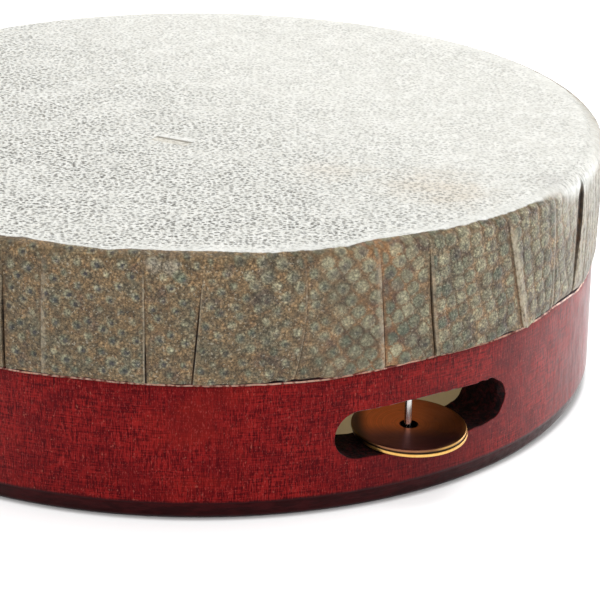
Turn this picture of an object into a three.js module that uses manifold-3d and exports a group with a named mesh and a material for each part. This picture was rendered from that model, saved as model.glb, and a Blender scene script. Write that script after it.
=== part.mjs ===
// Kanjira, a hand-held frame drum: a turned wooden shell that is open below, a lizard skin glued
// over its top, and two loose brass jingles on a steel pin that crosses one slot in the shell.
// Millimetres and degrees. +Z is up along the drum's axis, and the origin is the centre of the open
// lower rim. Azimuths run from -Y towards +X.
import * as THREE from "three";
import { mergeVertices } from "three/addons/utils/BufferGeometryUtils.js";
import Module from "manifold-3d";

const wasm = await Module();
wasm.setup();

// Shell
const SHELL_DIAMETER = 190;
const SHELL_HEIGHT = 60;
const WALL = 13;
const FOOT_BEVEL_HEIGHT = 4.2;
const FOOT_BEVEL_INSET = 1.5;
const FOOT_INNER_ROUND = 2.5;
const RIM_ROUND = 2;
const BEARING_WIDTH = 5;
const BEARING_SLOPE_DEPTH = 16;

// Slot and the pin that crosses it
const SLOT_AZIMUTH = 31.65;
const SLOT_LENGTH = 45.6;
const SLOT_HEIGHT = 11;
const SLOT_FLOOR = 11.9;
const PIN_OFFSET = -0.75;
const PIN_DIAMETER = 1.7;
const PIN_GRIP = 10;
const PIN_POINT = 2.5;
const PIN_HEAD_DIAMETER = 3.6;
const PIN_HEAD_THICKNESS = 0.9;
const PIN_HEAD_DEPTH = 0.6;
const PIN_CLEARANCE = 0.15;

// Jingles
const JINGLE_DIAMETER = 25.6;
const JINGLE_THICKNESS = 0.8;
const JINGLE_HOLE = 3.8;
const JINGLE_EDGE = 0.15;
const JINGLE_LEAN = 3.8;
const JINGLE_SHIFT = 0.3;
const JINGLE_GAP = 0.15;

// Skin
const SKIN_THICKNESS = 0.8;
const SKIN_GLUE_GAP = 0.3;
const BARE_WOOD_OVER_SLOT = 8.9;
const TUCK_LIP = 0.5;
const TUCK_LIP_RUN = 7;
const TUCK_STEP = 0.4;
const TUCK_FADE = 9;
const GAP_BELLY = 0.7;
const BACK_TUCKS = 27;
const BACK_TUCK_SWAY = 2.2;

// The tucks of the front, in order: azimuth at the collar's edge, lean from the edge up to the rim,
// the side that lies on top (1 towards the next tuck, -1 towards the last), and any open gap's width.
const FRONT_TUCKS = [
  { azimuth: -25.7, lean: 0.1, top: -1, gap: 0.6 },
  { azimuth: -20.4, lean: 0.3, top: 1, gap: 0 },
  { azimuth: -6.8, lean: -0.2, top: -1, gap: 0.4 },
  { azimuth: -1, lean: 1.6, top: 1, gap: 0.4 },
  { azimuth: 16.8, lean: -0.6, top: -1, gap: 0 },
  { azimuth: 24.4, lean: -1.2, top: -1, gap: 0.4 },
  { azimuth: 32, lean: -1.4, top: 1, gap: 0.5 },
  { azimuth: 48.3, lean: -4.3, top: 1, gap: 0 },
  { azimuth: 56.5, lean: -1.2, top: -1, gap: 0 },
  { azimuth: 63.4, lean: 1.1, top: -1, gap: 2.4 },
  { azimuth: 68.2, lean: 0.4, top: 1, gap: 0 },
];

// Fineness of the round forms
const ROUND_SEGMENTS = 96;
const SMALL_SEGMENTS = 16;
const JINGLE_SEGMENTS = 48;
const ARC_STEPS = 3;
const PANEL_STEPS = 4;
const COLLAR_STEPS = 4;
const CUT_MARGIN = 1;

// Worked out from the sizes above
const shellRadius = SHELL_DIAMETER / 2;
const boreRadius = shellRadius - WALL;
const pinRing = shellRadius - WALL / 2;
const slotRoof = SLOT_FLOOR + SLOT_HEIGHT;
const skinInner = shellRadius + SKIN_GLUE_GAP;
const skinOuter = skinInner + SKIN_THICKNESS;
const skinUnder = SHELL_HEIGHT + SKIN_GLUE_GAP;
const skinTop = skinUnder + SKIN_THICKNESS;
const skinInnerRound = RIM_ROUND + SKIN_GLUE_GAP;
const skinOuterRound = skinInnerRound + SKIN_THICKNESS;
const collarEdge = slotRoof + BARE_WOOD_OVER_SLOT;
const rad = THREE.MathUtils.degToRad;

// A closed geometry as a solid that can be cut and joined.
function solidOf(geometry) {
  const bare = geometry.clone().deleteAttribute("normal").deleteAttribute("uv");
  const merged = mergeVertices(bare, 1e-4);
  const corners = merged.index.array;
  const triVerts = [];
  for (let i = 0; i < corners.length; i += 3) {
    const [a, b, c] = corners.slice(i, i + 3);
    if (a !== b && b !== c && a !== c) triVerts.push(a, b, c);
  }
  return new wasm.Manifold(
    new wasm.Mesh({
      numProp: 3,
      vertProperties: merged.attributes.position.array,
      triVerts: new Uint32Array(triVerts),
    }),
  );
}

// A solid as a geometry for a mesh.
function geometryOf(solid) {
  const { numProp, vertProperties, triVerts } = solid.getMesh();
  const points = new THREE.InterleavedBuffer(vertProperties, numProp);
  const geometry = new THREE.BufferGeometry()
    .setAttribute("position", new THREE.InterleavedBufferAttribute(points, 3, 0))
    .setIndex(new THREE.BufferAttribute(triVerts, 1))
    .toNonIndexed();
  geometry.computeVertexNormals();
  return geometry;
}

// A profile of radius and height turned about the Z axis.
function turned(outline, segments) {
  return new THREE.LatheGeometry(outline, segments).rotateX(Math.PI / 2);
}

// An upright cylinder between two heights.
function upright(radius, low, high) {
  return new THREE.CylinderGeometry(radius, radius, high - low, SMALL_SEGMENTS)
    .rotateX(Math.PI / 2)
    .translate(0, 0, (low + high) / 2);
}

// Shell: one turned ring, bevelled at the foot, with a bearing edge that slopes away inside.
function shellOutline() {
  const outline = new THREE.Path();
  outline.moveTo(shellRadius - FOOT_BEVEL_INSET, 0);
  outline.lineTo(shellRadius, FOOT_BEVEL_HEIGHT);
  outline.absarc(shellRadius - RIM_ROUND, SHELL_HEIGHT - RIM_ROUND, RIM_ROUND, 0, Math.PI / 2);
  outline.lineTo(shellRadius - BEARING_WIDTH, SHELL_HEIGHT);
  outline.lineTo(boreRadius, SHELL_HEIGHT - BEARING_SLOPE_DEPTH);
  outline.absarc(boreRadius + FOOT_INNER_ROUND, FOOT_INNER_ROUND, FOOT_INNER_ROUND, Math.PI, 1.5 * Math.PI);
  outline.closePath();
  return outline.getPoints(ARC_STEPS);
}

// A cutter for the slot: an obround that runs straight through the wall, facing -Y.
function slotCutter() {
  const round = SLOT_HEIGHT / 2;
  const reach = SLOT_LENGTH / 2 - round;
  const outline = new THREE.Shape();
  outline.absarc(reach, 0, round, -Math.PI / 2, Math.PI / 2);
  outline.absarc(-reach, 0, round, Math.PI / 2, 1.5 * Math.PI);
  const depth = 2 * WALL + 2 * CUT_MARGIN;
  return new THREE.ExtrudeGeometry(outline, { depth, bevelEnabled: false, curveSegments: 2 * ARC_STEPS })
    .rotateX(Math.PI / 2)
    .translate(0, CUT_MARGIN + 1.5 * WALL - shellRadius, SLOT_FLOOR + round);
}

// A cutter for the pin's hole, with a seat for its head in the foot of the shell.
function pinHoleCutter() {
  const hole = upright(PIN_DIAMETER / 2 + PIN_CLEARANCE, -CUT_MARGIN, slotRoof + PIN_GRIP + PIN_CLEARANCE);
  const seatRoof = PIN_HEAD_DEPTH + PIN_HEAD_THICKNESS + PIN_CLEARANCE;
  const seat = upright(PIN_HEAD_DIAMETER / 2 + PIN_CLEARANCE, -CUT_MARGIN, seatRoof);
  return solidOf(hole).add(solidOf(seat)).translate([PIN_OFFSET, -pinRing, 0]);
}

function makeShell() {
  const slot = solidOf(slotCutter()).add(pinHoleCutter()).rotate([0, 0, SLOT_AZIMUTH]);
  return geometryOf(solidOf(turned(shellOutline(), ROUND_SEGMENTS)).subtract(slot));
}

// Pin: a wire nail driven up through the foot, across the slot and into the wood above it.
function makePin() {
  const tip = slotRoof + PIN_GRIP;
  const headTop = PIN_HEAD_DEPTH + PIN_HEAD_THICKNESS;
  const outline = [
    new THREE.Vector2(0, PIN_HEAD_DEPTH),
    new THREE.Vector2(PIN_HEAD_DIAMETER / 2, PIN_HEAD_DEPTH),
    new THREE.Vector2(PIN_HEAD_DIAMETER / 2, headTop),
    new THREE.Vector2(PIN_DIAMETER / 2, headTop),
    new THREE.Vector2(PIN_DIAMETER / 2, tip - PIN_POINT),
    new THREE.Vector2(0, tip),
  ];
  return turned(outline, SMALL_SEGMENTS);
}

// Jingle: a flat brass disc with a loose hole and eased edges, standing on its lower face.
function makeJingle() {
  const hole = JINGLE_HOLE / 2;
  const rim = JINGLE_DIAMETER / 2;
  const outline = [
    new THREE.Vector2(hole, 0),
    new THREE.Vector2(rim - JINGLE_EDGE, 0),
    new THREE.Vector2(rim, JINGLE_EDGE),
    new THREE.Vector2(rim, JINGLE_THICKNESS - JINGLE_EDGE),
    new THREE.Vector2(rim - JINGLE_EDGE, JINGLE_THICKNESS),
    new THREE.Vector2(hole, JINGLE_THICKNESS),
    new THREE.Vector2(hole, 0),
  ];
  return turned(outline, JINGLE_SEGMENTS);
}

// Every tuck of the collar in order: those of the front, then swaying ones round the back.
function allTucks() {
  const first = FRONT_TUCKS[0];
  const last = FRONT_TUCKS.at(-1);
  const pitch = (360 + first.azimuth - last.azimuth) / (BACK_TUCKS + 1);
  const back = Array.from({ length: BACK_TUCKS }, (_, k) => ({
    azimuth: last.azimuth + (k + 1) * pitch + BACK_TUCK_SWAY * Math.sin(2.4 * k),
    lean: BACK_TUCK_SWAY * Math.sin(1.7 * k + 0.6),
    top: k % 3 === 1 ? 1 : -1,
    gap: k % 4 === 2 ? TUCK_STEP : 0,
  }));
  return [...FRONT_TUCKS, ...back];
}

const smooth = (t) => THREE.MathUtils.smoothstep(t, 0, 1);

// The collar's upright columns: each one's azimuth at the edge, its lean, and how far its lip stands
// out, from 0 to 1.
function collarColumns(tucks) {
  const step = THREE.MathUtils.radToDeg(TUCK_STEP / skinOuter);
  const run = THREE.MathUtils.radToDeg(TUCK_LIP_RUN / skinOuter);
  return tucks.flatMap((tuck, k) => {
    const next = k + 1 < tucks.length ? tucks[k + 1] : { ...tucks[0], azimuth: tucks[0].azimuth + 360 };
    const span = next.azimuth - tuck.azimuth - step;
    return Array.from({ length: PANEL_STEPS + 1 }, (_, i) => {
      const share = i / PANEL_STEPS;
      const nearLip = tuck.top > 0 ? 1 - (share * span) / run : 0;
      const farLip = next.top < 0 ? 1 - ((1 - share) * span) / run : 0;
      return {
        azimuth: tuck.azimuth + step / 2 + share * span,
        lean: THREE.MathUtils.lerp(tuck.lean, next.lean, share),
        lip: smooth(Math.max(nearLip, farLip)),
      };
    });
  });
}

// The rows of the skin's outer face, from the rim's round down to the collar's edge.
function skinRows() {
  const outline = new THREE.Path();
  const shoulder = skinTop - skinOuterRound;
  outline.absarc(skinOuter - skinOuterRound, shoulder, skinOuterRound, Math.PI / 2, 0, true);
  const rows = outline.getPoints(ARC_STEPS);
  for (let i = 1; i <= COLLAR_STEPS; i++) {
    rows.push(new THREE.Vector2(skinOuter, THREE.MathUtils.lerp(shoulder, collarEdge, i / COLLAR_STEPS)));
  }
  return rows;
}

// The block inside the skin's outer face: a drum head with tucked sides, closed across the bottom.
function tuckedBlock(columns) {
  const rows = skinRows();
  const shoulder = skinTop - skinOuterRound;
  const points = [0, 0, skinTop];
  for (const row of rows) {
    const height = Math.min(1, (row.y - collarEdge) / (shoulder - collarEdge));
    const fade = smooth((shoulder - row.y) / Math.min(TUCK_FADE, shoulder - collarEdge));
    for (const column of columns) {
      const angle = rad(column.azimuth + column.lean * height);
      const radius = row.x + TUCK_LIP * column.lip * fade;
      points.push(radius * Math.sin(angle), -radius * Math.cos(angle), row.y);
    }
  }
  points.push(0, 0, collarEdge);
  const count = columns.length;
  const lastPoint = points.length / 3 - 1;
  const at = (row, column) => 1 + row * count + (column % count);
  const faces = [];
  for (let c = 0; c < count; c++) {
    faces.push(0, at(0, c), at(0, c + 1));
    for (let r = 0; r + 1 < rows.length; r++) {
      faces.push(at(r, c), at(r + 1, c), at(r + 1, c + 1));
      faces.push(at(r, c), at(r + 1, c + 1), at(r, c + 1));
    }
    faces.push(at(rows.length - 1, c), lastPoint, at(rows.length - 1, c + 1));
  }
  return new THREE.BufferGeometry()
    .setAttribute("position", new THREE.Float32BufferAttribute(points, 3))
    .setIndex(faces);
}

// The room inside the skin: the shell's outer form with the glue line round it.
function skinHollow() {
  const outline = new THREE.Path();
  outline.moveTo(0, collarEdge - CUT_MARGIN);
  outline.lineTo(skinInner, collarEdge - CUT_MARGIN);
  outline.absarc(skinInner - skinInnerRound, skinUnder - skinInnerRound, skinInnerRound, 0, Math.PI / 2);
  outline.lineTo(0, skinUnder);
  return turned(outline.getPoints(ARC_STEPS), ROUND_SEGMENTS);
}

// A cutter for an open tuck: a slim leaf, widest above the middle, that leans with its tuck.
function gapCutter({ azimuth, lean, gap }) {
  const tall = skinTop - skinOuterRound - collarEdge;
  const drift = skinOuter * rad(lean);
  const leaf = new THREE.Shape();
  leaf.moveTo(-gap / 4, -CUT_MARGIN);
  leaf.lineTo(gap / 4, -CUT_MARGIN);
  leaf.quadraticCurveTo(GAP_BELLY * drift + gap, GAP_BELLY * tall, drift, tall);
  leaf.quadraticCurveTo(GAP_BELLY * drift - gap, GAP_BELLY * tall, -gap / 4, -CUT_MARGIN);
  return new THREE.ExtrudeGeometry(leaf, {
    depth: 2 * SKIN_THICKNESS + 2 * TUCK_LIP + SKIN_GLUE_GAP,
    bevelEnabled: false,
    curveSegments: ARC_STEPS,
  })
    .rotateX(Math.PI / 2)
    .translate(0, -shellRadius, collarEdge)
    .rotateZ(rad(azimuth));
}

// Skin: one sheet, flat over the top and tucked down round the shell.
function makeSkin() {
  const tucks = allTucks();
  const skin = solidOf(tuckedBlock(collarColumns(tucks))).subtract(solidOf(skinHollow()));
  const gaps = tucks.filter((tuck) => tuck.gap > 0).map((tuck) => solidOf(gapCutter(tuck)));
  return geometryOf(gaps.reduce((left, gap) => left.subtract(gap), skin));
}

const stainedWood = new THREE.MeshStandardMaterial({ color: 0x7a1818, roughness: 0.45, metalness: 0 });
const lizardSkin = new THREE.MeshStandardMaterial({ color: 0x9a9484, roughness: 0.7, metalness: 0 });
const brightSteel = new THREE.MeshStandardMaterial({ color: 0xb9b6b0, roughness: 0.25, metalness: 1 });
const oldBrass = new THREE.MeshStandardMaterial({ color: 0x8a5a24, roughness: 0.3, metalness: 1 });

function named(name, geometry, material) {
  const mesh = new THREE.Mesh(geometry, material);
  mesh.name = name;
  return mesh;
}

// The jingles' station: its own -Y points out through the slot.
function makeStation() {
  const station = new THREE.Group();
  const pin = named("jingle_pin", makePin(), brightSteel);
  pin.position.set(PIN_OFFSET, -pinRing, 0);
  station.add(pin);
  const lean = rad(JINGLE_LEAN);
  const rise = SLOT_FLOOR + JINGLE_GAP + (WALL / 2) * Math.tan(lean);
  const pitch = (JINGLE_THICKNESS + JINGLE_GAP) / Math.cos(lean);
  ["jingle_lower", "jingle_upper"].forEach((name, k) => {
    const jingle = named(name, makeJingle(), oldBrass);
    jingle.position.set(PIN_OFFSET + JINGLE_SHIFT * (2 - k), -pinRing, rise + k * pitch);
    jingle.rotation.x = lean;
    station.add(jingle);
  });
  station.rotation.z = rad(SLOT_AZIMUTH);
  return station;
}

const kanjira = new THREE.Group();
kanjira.name = "kanjira";
kanjira.add(named("shell", makeShell(), stainedWood));
kanjira.add(named("drumhead", makeSkin(), lizardSkin));
kanjira.add(makeStation());

export default kanjira;
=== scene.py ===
"""Looks of a kanjira: a red-stained turned shell, one tucked lizard skin, and two brass jingles on a pin.

Lengths are millimetres until a mesh is written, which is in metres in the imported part's frame.
Azimuths are degrees from -Y towards +X.
"""

import itertools
import math

import bpy
import numpy as np
from mathutils import Matrix, Vector


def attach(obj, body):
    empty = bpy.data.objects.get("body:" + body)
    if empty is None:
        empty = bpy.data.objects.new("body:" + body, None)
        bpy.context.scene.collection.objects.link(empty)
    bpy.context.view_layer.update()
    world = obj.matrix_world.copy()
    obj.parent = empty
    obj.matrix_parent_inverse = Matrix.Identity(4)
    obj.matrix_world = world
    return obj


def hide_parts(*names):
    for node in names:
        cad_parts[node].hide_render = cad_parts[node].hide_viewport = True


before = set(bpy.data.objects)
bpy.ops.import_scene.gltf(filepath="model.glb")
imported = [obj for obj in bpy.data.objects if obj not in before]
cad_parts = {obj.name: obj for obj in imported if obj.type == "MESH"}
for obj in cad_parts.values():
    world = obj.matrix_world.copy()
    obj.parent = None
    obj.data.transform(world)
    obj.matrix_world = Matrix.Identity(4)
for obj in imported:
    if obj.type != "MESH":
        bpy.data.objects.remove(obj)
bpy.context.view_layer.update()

MM = 0.001

# The part's sizes, as its source has them
SHELL_RADIUS = 95.0
SHELL_HEIGHT = 60.0
WALL = 13.0
BORE_RADIUS = SHELL_RADIUS - WALL
FOOT_BEVEL_HEIGHT = 4.2
FOOT_BEVEL_INSET = 1.5
FOOT_INNER_ROUND = 2.5
RIM_ROUND = 2.0
BEARING_WIDTH = 5.0
BEARING_SLOPE_DEPTH = 16.0
SLOT_AZIMUTH = 31.65
SLOT_LENGTH = 45.6
SLOT_HEIGHT = 11.0
SLOT_FLOOR = 11.9
SLOT_END = SLOT_HEIGHT / 2
SLOT_MIDDLE = SLOT_FLOOR + SLOT_END
PIN_RING = SHELL_RADIUS - WALL / 2
PIN_OFFSET = -0.75
PIN_RADIUS = 0.85
PIN_GRIP = 10.0
PIN_TIP = SLOT_FLOOR + SLOT_HEIGHT + PIN_GRIP
PIN_POINT = 2.5
PIN_HEAD_RADIUS = 1.8
PIN_HEAD_THICKNESS = 0.9
PIN_HEAD_LOW = 0.6
PIN_HEAD_HIGH = PIN_HEAD_LOW + PIN_HEAD_THICKNESS
PIN_CLEARANCE = 0.15
PIN_SEAT_RADIUS = PIN_HEAD_RADIUS + PIN_CLEARANCE
PIN_SEAT_ROOF = PIN_HEAD_HIGH + PIN_CLEARANCE
JINGLE_RADIUS = 12.8
JINGLE_HOLE_RADIUS = 1.9
JINGLE_THICKNESS = 0.8
JINGLE_LEAN = 3.8
JINGLE_SHIFT = 0.3
JINGLE_GAP = 0.15
SKIN_THICKNESS = 0.8
SKIN_GLUE_GAP = 0.3
SKIN_INNER = SHELL_RADIUS + SKIN_GLUE_GAP
SKIN_OUTER = SKIN_INNER + SKIN_THICKNESS
SKIN_UNDER = SHELL_HEIGHT + SKIN_GLUE_GAP
SKIN_TOP = SKIN_UNDER + SKIN_THICKNESS
SKIN_INNER_ROUND = RIM_ROUND + SKIN_GLUE_GAP
SKIN_OUTER_ROUND = SKIN_INNER_ROUND + SKIN_THICKNESS
RIM_START = SKIN_OUTER - SKIN_OUTER_ROUND
SHOULDER = SKIN_TOP - SKIN_OUTER_ROUND
TUCK_LIP_RUN = 7.0
BACK_TUCKS = 27
BACK_TUCK_SWAY = 2.2

CHANCES = 4096


def smooth(low, high, x):
    t = np.clip((x - low) / (high - low), 0, 1)
    return t * t * (3 - 2 * t)


def plateau(up_from, up_to, down_from, down_to, x):
    """0, then 1 between the two slopes, then 0 again."""
    return smooth(up_from, up_to, x) * (1 - smooth(down_from, down_to, x))


def table_key(cells):
    primes = (73856093, 19349663, 83492791)
    key = 0
    for cell, prime in zip(cells, primes):
        key = key ^ (cell * prime)
    return key % CHANCES


def noise(seed, size, *coords):
    """Smooth noise from 0 to 1, its bumps about size apart."""
    table = np.random.default_rng(seed).random(CHANCES)
    coords = [np.asarray(c, float) / size for c in coords]
    cells = [np.floor(c).astype(int) for c in coords]
    parts = [smooth(0, 1, c - cell) for c, cell in zip(coords, cells)]
    total = 0
    for corner in itertools.product((0, 1), repeat=len(coords)):
        weight = 1
        for part, step in zip(parts, corner):
            weight = weight * (part if step else 1 - part)
        total = total + weight * table[table_key([c + s for c, s in zip(cells, corner)])]
    return total


def ring_noise(seed, size, azimuth, height=0.0):
    """Noise round the drum's wall, without a seam, from -0.5 to 0.5."""
    angle = np.radians(azimuth)
    around = SHELL_RADIUS * np.sin(angle), -SHELL_RADIUS * np.cos(angle)
    return noise(seed, size, *around, np.asarray(height) + 0 * angle) - 0.5


def at(radius, azimuth, height):
    """Points from radius, azimuth and height."""
    angle = np.radians(azimuth)
    return np.stack(np.broadcast_arrays(radius * np.sin(angle), -radius * np.cos(angle), height), -1)


# Azimuth and height of the line that the knife left in the wood when the collar was trimmed
EDGE_LINE = [
    (-26, 32.1), (-15, 32.5), (4, 32.1), (17, 32.0), (28, 32.8), (35, 32.7), (47, 32.1), (52, 32.2),
    (58, 32.8), (63.5, 32.4), (68, 31.5), (75, 31.9), (320, 31.8),
]
# Azimuth and radius of the line where the pale head gives way to the brown collar. What is more than
# the skin's own radius lies further down.
RIM_LINE = [
    (-26, 93.3), (-24, 92.1), (-11.5, 93.8), (-9, 92.3), (2, 92.9), (8, 94.1), (19, 94.2), (24, 92.9),
    (37, 94.3), (55, 95.0), (64, 97.4), (70, 96.3), (90, 93.8), (320, 93.4),
]
# Azimuth, and how far the skin's edge stands off the knife line: hardly at 0, widely at 1
OPEN_LINE = [
    (-26, 0.1), (-20.5, 0.6), (-19, 0.1), (8.2, 0.1), (9.2, 0.8), (10.2, 0.8), (10.9, 0.2), (11.8, 0.9),
    (15.3, 0.9), (18, 0.15), (42, 0.2), (43.8, 0.9), (48.5, 0.9), (49.2, 0.3), (50, 1.1), (75, 1.0),
    (85, 0.3), (200, 0.6), (320, 0.4),
]
EDGE_STANDS_OFF = 0.55
# The drum's right, where the collar lies tight and is cut clean: from, fully from, fully to, to
CLEAN_CUT = (56, 62, 95, 105)


def along_line(azimuth, line):
    return np.interp(azimuth, *zip(*line), period=360)


def knife_height(azimuth):
    wander = 0.2 * ring_noise(11, 17, azimuth) + 0.16 * ring_noise(12, 2.4, azimuth)
    return along_line(azimuth, EDGE_LINE) + wander


def edge_height(azimuth):
    """Height of the collar's lower edge."""
    ragged = 0.25 * ring_noise(16, 1.3, azimuth) * (1 - 0.7 * plateau(*CLEAN_CUT, azimuth))
    return knife_height(azimuth) + EDGE_STANDS_OFF * along_line(azimuth, OPEN_LINE) + ragged


def past_rim(reach, azimuth):
    """How far a point lies past the head's pale part.

    Reach runs outwards from the rim's round, over the skin."""
    radius = along_line(azimuth, RIM_LINE)
    out = np.clip((radius - RIM_START) / SKIN_OUTER_ROUND, 0, 1)
    line = np.where(radius > RIM_START, SKIN_OUTER_ROUND * np.arcsin(out), radius - RIM_START)
    return reach - line - np.maximum(radius - SKIN_OUTER, 0)


class Surface:
    """Points, faces and painted values of one mesh. Rows run down the outside, so that faces look out."""

    def __init__(self, values):
        self.values = values
        self.points = []
        self.paint = []
        self.faces = []
        self.wearing = []
        self.count = 0

    def add(self, points, **paint):
        points = np.asarray(points, float)
        shape = points.shape[:-1]
        ids = self.count + np.arange(int(np.prod(shape))).reshape(shape)
        self.points.append(points.reshape(-1, 3))
        columns = [np.broadcast_to(paint.get(v, 0.0), shape).reshape(-1) for v in self.values]
        self.paint.append(np.stack(columns, -1) if columns else np.zeros((ids.size, 0)))
        self.count += ids.size
        return ids

    def wear(self, number):
        """Faces from here on wear that one of the materials."""
        self.wearing.append((len(self.faces), number))

    def strip(self, upper, lower, closed=True):
        for i in range(len(upper) - (0 if closed else 1)):
            j = (i + 1) % len(upper)
            self.faces.append((upper[i], lower[i], lower[j], upper[j]))

    def rows(self, ids):
        for upper, lower in zip(ids[:-1], ids[1:]):
            self.strip(upper, lower)

    def widen(self, inner, outer, below=False):
        """Between a ring and one of twice as many points round it, seen from above or from below."""
        count = len(inner)
        for i in range(count):
            j = (i + 1) % count
            a, b, c = outer[2 * i], outer[2 * i + 1], outer[(2 * i + 2) % (2 * count)]
            for face in ((inner[i], a, b), (inner[i], b, inner[j]), (inner[j], b, c)):
                self.faces.append(face[::-1] if below else face)

    def fan(self, middle, ring, below=False):
        for i in range(len(ring)):
            j = (i + 1) % len(ring)
            self.faces.append((middle, ring[j], ring[i]) if below else (middle, ring[i], ring[j]))

    def build(self, name, materials, place=None, sharp=40):
        points = np.concatenate(self.points) * MM
        mesh = bpy.data.meshes.new(name)
        mesh.from_pydata(points.tolist(), [], [tuple(map(int, f)) for f in self.faces])
        if place is not None:
            mesh.transform(place)
        mesh.polygons.foreach_set("use_smooth", [True] * len(mesh.polygons))
        mesh.set_sharp_from_angle(angle=math.radians(sharp))
        paint = np.concatenate(self.paint)
        for column, value in enumerate(self.values):
            layer = mesh.attributes.new(value, "FLOAT", "POINT")
            layer.data.foreach_set("value", paint[:, column].astype(np.float32))
        for material in materials:
            mesh.materials.append(material)
        worn = np.zeros(len(self.faces), int)
        for first, number in self.wearing:
            worn[first:] = number
        mesh.polygons.foreach_set("material_index", worn)
        mesh.validate()
        mesh.update()
        return placed_object(name, mesh)


def placed_object(name, data):
    made = bpy.data.objects.new(name, data)
    bpy.context.scene.collection.objects.link(made)
    return made


class Value:
    """What a node gives, for use in sums."""

    def __init__(self, nodes, socket):
        self.nodes = nodes
        self.socket = socket

    def __add__(self, other):
        return self.nodes.math("ADD", self, other)

    def __sub__(self, other):
        return self.nodes.math("SUBTRACT", self, other)

    def __rsub__(self, other):
        return self.nodes.math("SUBTRACT", other, self)

    def __mul__(self, other):
        return self.nodes.math("MULTIPLY", self, other)

    def __truediv__(self, other):
        return self.nodes.math("DIVIDE", self, other)

    def __abs__(self):
        return self.nodes.math("ABSOLUTE", self)


class Nodes:
    """A node tree, emptied and built anew. An input that is a Value is linked, and any other is set."""

    def __init__(self, tree):
        self.tree = tree
        tree.nodes.clear()

    def node(self, kind, inputs, output=0, **settings):
        made = self.tree.nodes.new(kind)
        for name, value in settings.items():
            setattr(made, name, value)
        for name, value in inputs.items():
            if isinstance(value, Value):
                self.tree.links.new(value.socket, made.inputs[name])
            else:
                made.inputs[name].default_value = value
        return Value(self, made.outputs[output])

    def math(self, operation, a, b=0.0):
        return self.node("ShaderNodeMath", {0: a, 1: b}, operation=operation)

    def larger(self, a, b):
        return self.math("MAXIMUM", a, b)

    def shown_rays(self):
        """1 for the rays that show the background: the camera's, also by way of metal or glass."""
        kinds = "Is Camera Ray", "Is Glossy Ray", "Is Transmission Ray"
        camera, glossy, through = [self.node("ShaderNodeLightPath", {}, kind) for kind in kinds]
        return self.larger(self.larger(camera, glossy), through)

    def end(self, kind, shader):
        self.tree.links.new(shader.socket, self.tree.nodes.new(kind).inputs["Surface"])


class Look(Nodes):
    """A material. Its x, y, z and lengths are millimetres on the part."""

    def __init__(self, name):
        self.material = bpy.data.materials.new(name)
        self.material.use_nodes = True
        super().__init__(self.material.node_tree)
        place = self.node("ShaderNodeTexCoord", {}, "Object")
        self.mm = self.scaled(place, 1 / MM)
        self.x, self.y, self.z = [self.node("ShaderNodeSeparateXYZ", {0: self.mm}, axis) for axis in "XYZ"]

    def vector(self, operation, inputs, output=0):
        return self.node("ShaderNodeVectorMath", inputs, output, operation=operation)

    def scaled(self, tint, factor):
        return self.vector("SCALE", {0: tint, "Scale": factor})

    def away(self, point):
        return self.vector("DISTANCE", {0: self.mm, 1: point}, "Value")

    def ramp(self, value, low, high, start=0.0, end=1.0):
        inputs = {"Value": value, "From Min": low, "From Max": high, "To Min": start, "To Max": end}
        return self.node("ShaderNodeMapRange", inputs, interpolation_type="SMOOTHSTEP")

    def mix(self, share, a, b):
        """Between two tints, each a Value or a colour as it looks on a screen."""
        a, b = [tint if isinstance(tint, Value) else colour(*tint) for tint in (a, b)]
        return self.node("ShaderNodeMix", {0: share, 6: a, 7: b}, 2, data_type="RGBA")

    def spread(self, value, low, high, dark, light):
        """From one tint to another as a value runs from low to high."""
        return self.mix(self.ramp(value, low, high), dark, light)

    def layers(self, tint, *layers):
        """A tint with others over it, each of which has its share before it."""
        for share, over in layers:
            tint = self.mix(share, tint, over)
        return tint

    def noise(self, size, detail=3.0, roughness=0.55, stretch=None, shift=0.0):
        """Noise whose bumps are about size apart, or longer by stretch along each axis."""
        place = self.mm
        if shift:
            place = self.vector("ADD", {0: place, 1: (shift, shift, shift)})
        if stretch is not None:
            place = self.vector("DIVIDE", {0: place, 1: stretch})
        inputs = {"Vector": place, "Scale": 1 / size, "Detail": detail, "Roughness": roughness}
        return self.node("ShaderNodeTexNoise", inputs)

    def cells(self, size, output="Distance", flat=False):
        inputs = {"Vector": self.mm, "Scale": 1 / size}
        return self.node("ShaderNodeTexVoronoi", inputs, output, voronoi_dimensions="2D" if flat else "3D")

    def paint(self, name):
        return self.node("ShaderNodeAttribute", {}, "Fac", attribute_name=name)

    def bump(self, height, depth, normal=None):
        inputs = {"Height": height, "Distance": depth * MM, "Strength": 1.0}
        if normal is not None:
            inputs["Normal"] = normal
        return self.node("ShaderNodeBump", inputs)

    def principled(self, **inputs):
        names = {name.replace("_", " ").title(): value for name, value in inputs.items()}
        fixed = {"Specular Ior Level": "Specular IOR Level", "Ior": "IOR"}
        return self.node("ShaderNodeBsdfPrincipled", {fixed.get(k, k): value for k, value in names.items()})

    def done(self, shader):
        self.end("ShaderNodeOutputMaterial", shader)
        return self.material


def colour(red, green, blue):
    """A colour as it looks on a screen, 0 to 255, for a shader."""
    shares = [c / 255 for c in (red, green, blue)]
    return *[s / 12.92 if s <= 0.04045 else ((s + 0.055) / 1.055) ** 2.4 for s in shares], 1.0


# An old wax finish: hardly a mirror from in front, a full one at a glancing angle
FAINT_MIRROR = (0.06, 0.06, 0.06, 1)
# Where a painted shade on the wood below the slot, under the discs, is darkest
SHADE_UNDER_SLOT = (50, -81, 6)


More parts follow.
